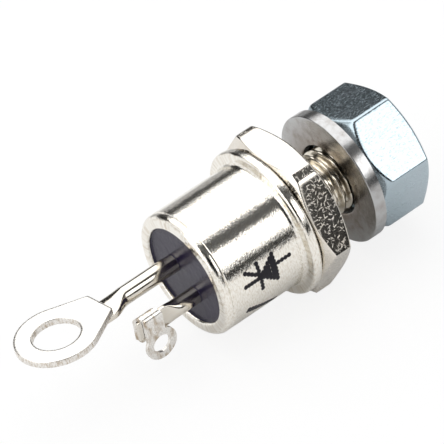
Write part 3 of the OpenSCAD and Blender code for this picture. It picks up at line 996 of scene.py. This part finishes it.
class ThyristorMakeStage(Operator):
    """Pale floor, softboxes, dark cards, room light and camera"""

    bl_idname = "thyristor.make_stage"
    bl_label = "Stage"

    def execute(self, context):
        """Lights the part as a small studio does and aims the camera"""
        scene = context.scene
        stage = scene.thyristor_stage
        scene.view_settings.view_transform = "Standard"
        self.floor(stage)
        self.cards()
        self.room(scene, stage)
        # Name, middle, aim and size in metres, share of the lamp level, whether it lights matt surfaces
        boxes = (("top_softbox", (0.2, 0.75, 0.9), (0.0, 0.0, -1.0), (1.4, 1.9), 1.0, True),
                 ("left_softbox", (-1.0, 0.05, 0.6), (1.0, -0.05, -0.6), (0.9, 1.6), 1.0, True),
                 ("front_softbox", (0.39, -0.72, 0.54), (-0.39, 0.72, -0.54), (0.5, 0.42), 1.75, False))
        for name, middle, aim, size, share, lights_matt in boxes:
            self.softbox(scene, name, middle, aim, size, stage.lamp * share, lights_matt)
        self.camera(scene, stage)
        return {"FINISHED"}

    def softbox(self, scene, name, middle, aim, size, level, lights_matt):
        """Softbox that faces the aim, as bright as the level wherever it is seen from"""
        lamp = bpy.data.lights.new(name, "AREA")
        lamp.shape = "RECTANGLE"
        lamp.size = size[0]
        lamp.size_y = size[1]
        lamp.energy = level * math.pi * lamp.size * lamp.size_y
        box = bpy.data.objects.new(name, lamp)
        box.location = middle
        box.rotation_mode = "QUATERNION"
        box.rotation_quaternion = Vector(aim).to_track_quat("-Z", "Y")
        box.visible_camera = False
        box.visible_diffuse = lights_matt
        scene.collection.objects.link(box)

    def sheet(self, name, points, faces, shade):
        """Plain sheet of the stage in one colour"""
        piece = new_piece(name, points, faces)
        # Dull paper with a faint fibre
        material, place = new_material(name + " paper")
        tone = blend(noise(place, 6.0, 2.0), shade, toned(shade, 1.01))
        piece.data.materials.append(coat(material, tone, 0.9, metallic=0.0, specular=0.0))
        return piece

    def floor(self, stage):
        """Pale floor under the part"""
        reach = 3.0
        corners = [(-reach, -reach, 0.0), (reach, -reach, 0.0), (reach, reach, 0.0), (-reach, reach, 0.0)]
        piece = self.sheet("floor", corners, [(0, 1, 2, 3)], tuple(stage.floor))
        tree = piece.data.materials[0].node_tree
        paper = tree.nodes["Principled BSDF"].outputs[0]
        glow = add(tree, "ShaderNodeEmission").outputs[0]
        share = self.seen(tree, stage.backlight, stage.reflected)
        both = add(tree, "ShaderNodeMixShader", {"Fac": share, 1: paper, 2: glow}).outputs[0]
        feed(tree.nodes["Material Output"], {"Surface": both})

    def cards(self):
        """Dark cards that draw the dark lines along bright metal, and a grey card on the floor whose
        reflection is painted shade
        """
        cards = []
        # Cards round the part: name, headings in degrees, distance and height in metres of both edges, shade
        away = 0.6
        walls = (("front_card", -95, -35, (away, 0.0), (away, 0.16), 0.03),
                 ("right_card", -37, -16, (away, 0.15), (away, 0.43), 0.02),
                 ("far_card", 27, 48, (away, 0.15), (away, 0.42), 0.02),
                 ("back_card", 35, 95, (away, 0.02), (away, 0.235), 0.07),
                 ("left_card", 73, 118, (away, 0.05), (away, 0.36), 0.02),
                 # A grey card on the floor that only metal and glass see: painted shade of the floor behind
                 # the part
                 ("floor_card", 35, 95, (0.045, 0.0005), (0.59, 0.0005), 0.4))
        for name, start, end, near, far, shade in walls:
            turns = [start + (end - start) * step / CARD_STEPS for step in range(CARD_STEPS + 1)]
            sweep = [math.radians(turn) for turn in turns]
            wall = [polar(reach, heading, height) for reach, height in (near, far) for heading in sweep]
            across = CARD_STEPS + 1
            faces = [(step, step + 1, step + 1 + across, step + across) for step in range(CARD_STEPS)]
            cards.append(self.sheet(name, wall, faces, (shade, shade, shade)))
        # A long flag over the front of the part, square to the line from the part to it
        middle = Vector((0.2, -0.219, 0.449))
        across = Vector((0.0, 0.449, 0.219)).normalized() * 0.105
        reach = Vector((0.5, 0.0, 0.0))
        corners = (middle - reach - across, middle + reach - across, middle + reach + across,
                   middle - reach + across)
        flag = [tuple(corner) for corner in corners]
        cards.append(self.sheet("flag", flag, [(0, 1, 2, 3)], (0.11, 0.11, 0.11)))
        # A round card behind the camera, where the room is dark
        away = 0.62
        radius = 0.37
        side = LOOK.orthogonal().normalized()
        up = LOOK.cross(side)
        turns = headings(2 * CARD_STEPS)
        disc = [LOOK * -away + (side * math.cos(turn) + up * math.sin(turn)) * radius for turn in turns]
        cards.append(self.sheet("camera_card", [tuple(point) for point in disc], [tuple(range(len(disc)))],
                                (0.012, 0.012, 0.014)))
        for card in cards:
            card.visible_camera = False
            card.visible_diffuse = False
            card.visible_shadow = False

    def seen(self, tree, directly, mirrored):
        """One value for what the camera sees, one for what metal or glass sees and 0 for matt surfaces"""
        ray = add(tree, "ShaderNodeLightPath").outputs
        mirror = reckon("MAXIMUM", ray["Is Glossy Ray"], ray["Is Transmission Ray"])
        dimmed = reckon("MULTIPLY", mirror, mirrored)
        direct = reckon("MULTIPLY", ray["Is Camera Ray"], directly)
        return reckon("MAXIMUM", direct, dimmed)

    def room(self, scene, stage):
        """Pale room: full white where the camera, metal or glass sees it, dimmer on matt surfaces"""
        world = bpy.data.worlds.new("pale_room")
        scene.world = world
        world.use_nodes = True
        tree = world.node_tree
        level = spread(self.seen(tree, 1.0, 1.0), stage.ambient, 1.0)
        feed(tree.nodes["Background"], {"Color": (1.0, 1.0, 1.0, 1.0), "Strength": level})

    def camera(self, scene, stage):
        """Camera at the height and angle of the picture, with a long lens"""
        data = bpy.data.cameras.new("camera")
        data.sensor_width = 36.0
        data.lens = stage.focal
        data.clip_start = 0.01
        data.clip_end = 20.0
        camera = bpy.data.objects.new("camera", data)
        right, ahead, up = CAMERA_PLACE
        camera.location = (SEAT_X + mm(right), mm(ahead), AXIS_Z + mm(up))
        camera.rotation_mode = "QUATERNION"
        view = LOOK.to_track_quat("-Z", "Y")
        camera.rotation_quaternion = view @ Quaternion((0.0, 0.0, 1.0), stage.roll)
        scene.collection.objects.link(camera)
        scene.camera = camera


OPERATORS = (
    ThyristorMakeStage,
    ThyristorMakeBase,
    ThyristorMakeCap,
    ThyristorMakeMarking,
    ThyristorMakeGlass,
    ThyristorMakeCathode,
    ThyristorMakeGate,
    ThyristorMakeFasteners,
    ThyristorFinishInside,
)

SETTINGS = {
    "thyristor_base": ThyristorBase,
    "thyristor_cap": ThyristorCap,
    "thyristor_terminals": ThyristorTerminals,
    "thyristor_fasteners": ThyristorFasteners,
    "thyristor_marking": ThyristorMarking,
    "thyristor_finish": ThyristorFinish,
    "thyristor_stage": ThyristorStage,
}


class ThyristorPanel(Panel):
    """Sidebar panel with each piece's button and settings"""

    bl_idname = "VIEW3D_PT_thyristor"
    bl_label = "Thyristor"
    bl_space_type = "VIEW_3D"
    bl_region_type = "UI"
    bl_category = "Thyristor"

    def draw(self, context):
        """Lists the operators, then the settings"""
        for operator in OPERATORS:
            self.layout.operator(operator.bl_idname)
        for name, group in SETTINGS.items():
            box = self.layout.box()
            box.label(text=group.__doc__)
            for setting in group.__annotations__:
                box.prop(getattr(context.scene, name), setting)


def register():
    """Registers the settings, operators and panel"""
    for name, group in SETTINGS.items():
        bpy.utils.register_class(group)
        setattr(bpy.types.Scene, name, PointerProperty(type=group))
    for kind in (*OPERATORS, ThyristorPanel):
        bpy.utils.register_class(kind)


def unregister():
    """Takes the settings, operators and panel away"""
    for kind in (ThyristorPanel, *OPERATORS):
        bpy.utils.unregister_class(kind)
    for name, group in SETTINGS.items():
        delattr(bpy.types.Scene, name)
        bpy.utils.unregister_class(group)


def main():
    """Builds the scene"""
    register()
    bpy.ops.thyristor.make_stage()
    bpy.ops.thyristor.make_base()
    bpy.ops.thyristor.make_cap()
    bpy.ops.thyristor.make_marking()
    bpy.ops.thyristor.make_glass()
    bpy.ops.thyristor.make_cathode()
    bpy.ops.thyristor.make_gate()
    bpy.ops.thyristor.make_fasteners()
    bpy.ops.thyristor.finish_inside()


if __name__ == "__main__":
    main()
